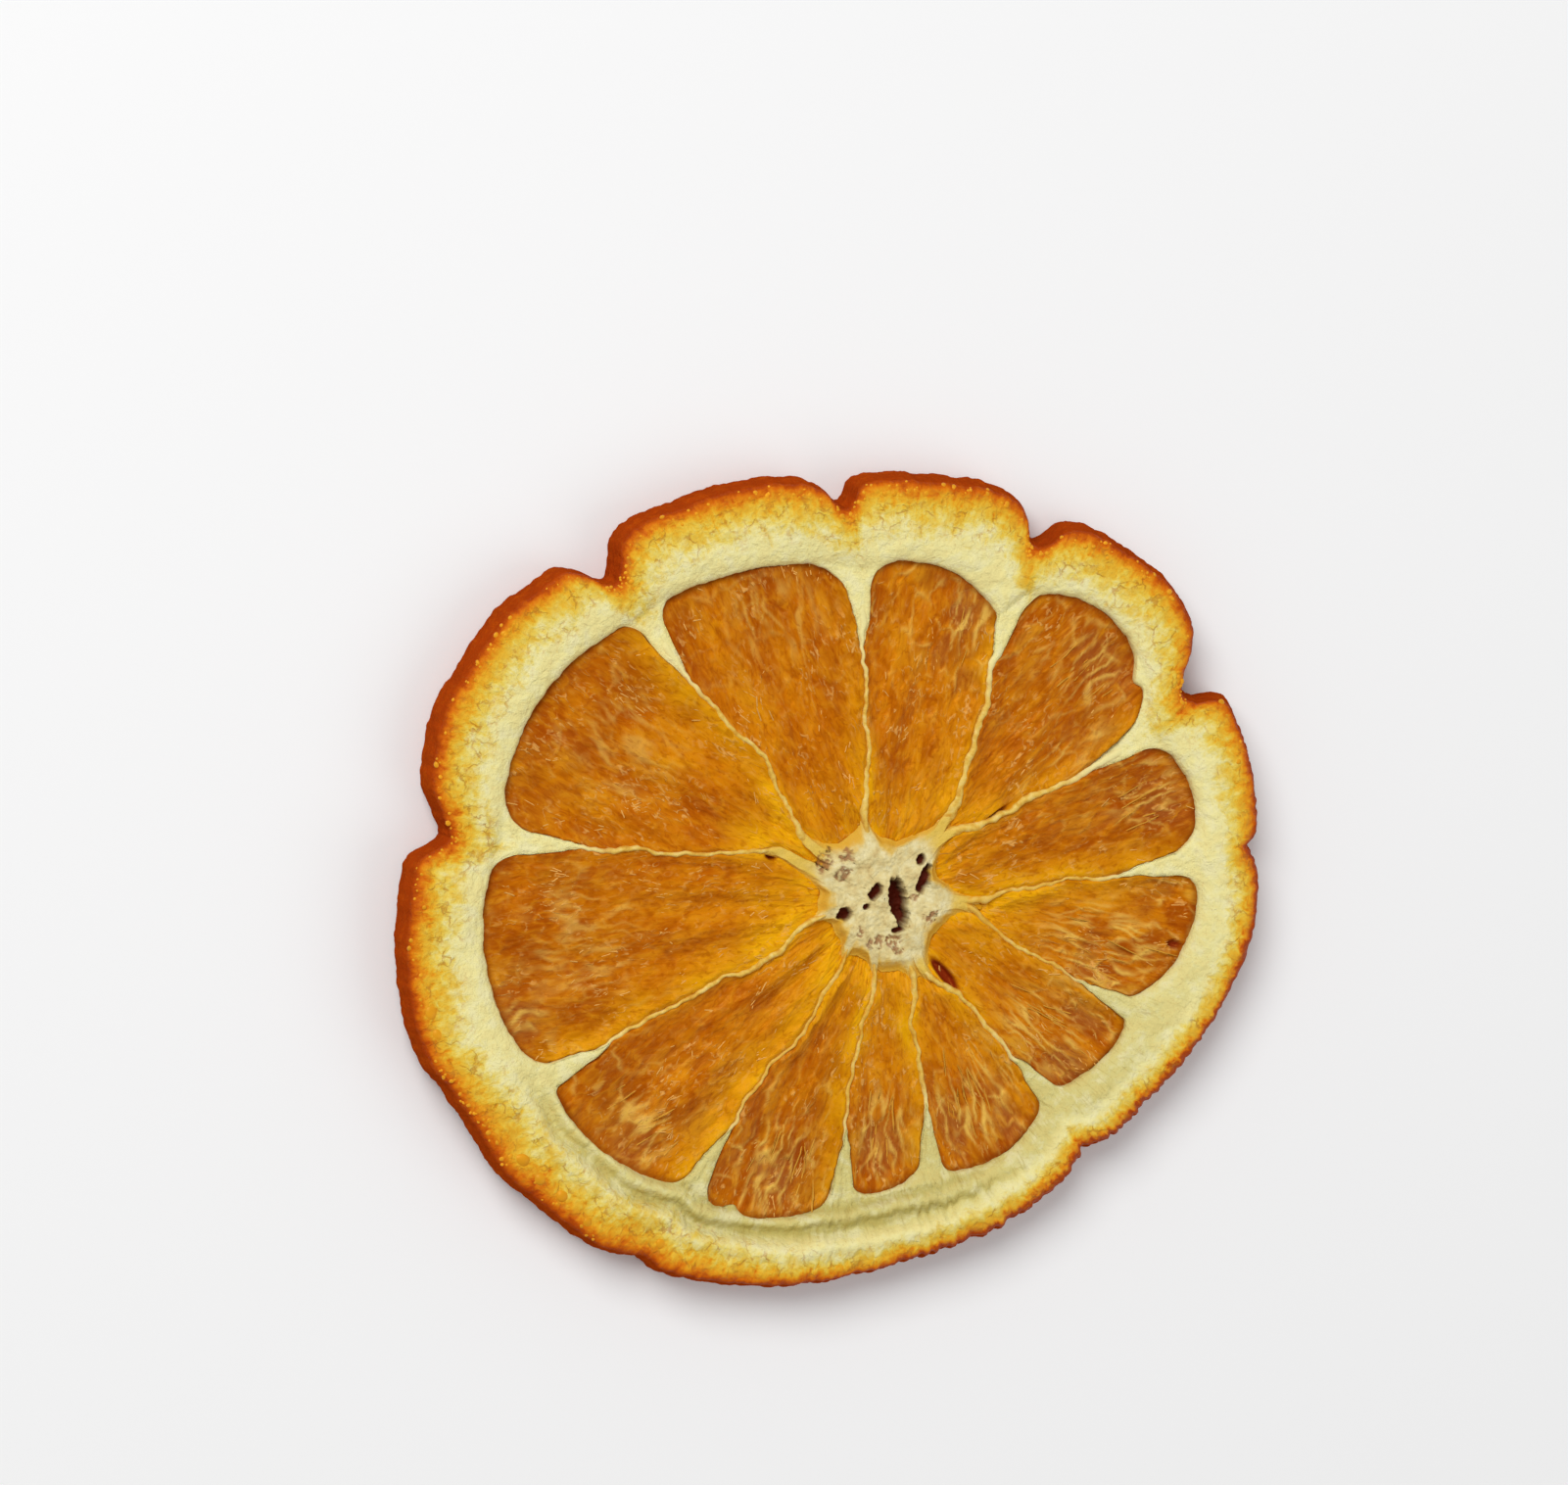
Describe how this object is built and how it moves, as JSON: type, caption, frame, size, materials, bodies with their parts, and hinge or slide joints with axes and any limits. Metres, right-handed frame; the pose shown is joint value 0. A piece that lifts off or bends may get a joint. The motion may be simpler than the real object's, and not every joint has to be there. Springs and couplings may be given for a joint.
{
  "type": "dried orange slice",
  "caption": "Round cross-cut slice of dried citrus fruit: a thick puckered rind around glassy pulp segments, pale wavy membranes and a spongy pitted core.",
  "frame": {"origin": "centre of the bounding box at the surface the slice lies on", "axes": "+Z out of the shown cut face, +X along the picture's right, +Y along the picture's up"},
  "size_m": [0.0702, 0.0642, 0.0055],
  "materials": {
    "dried_pulp": "amber, glassy and wrinkled, with short pale glints",
    "dried_membrane": "cream-yellow, waxy, uneven",
    "dried_pith": "pale cream, fibrous, matt, yellower towards the peel",
    "dried_peel": "deep red-orange, pored, slightly waxy",
    "dried_core": "pale sponge with dark red-brown pits"
  },
  "bodies": {
    "root": {"orange_slice": "dried_pulp"}
  },
  "joints": []
}
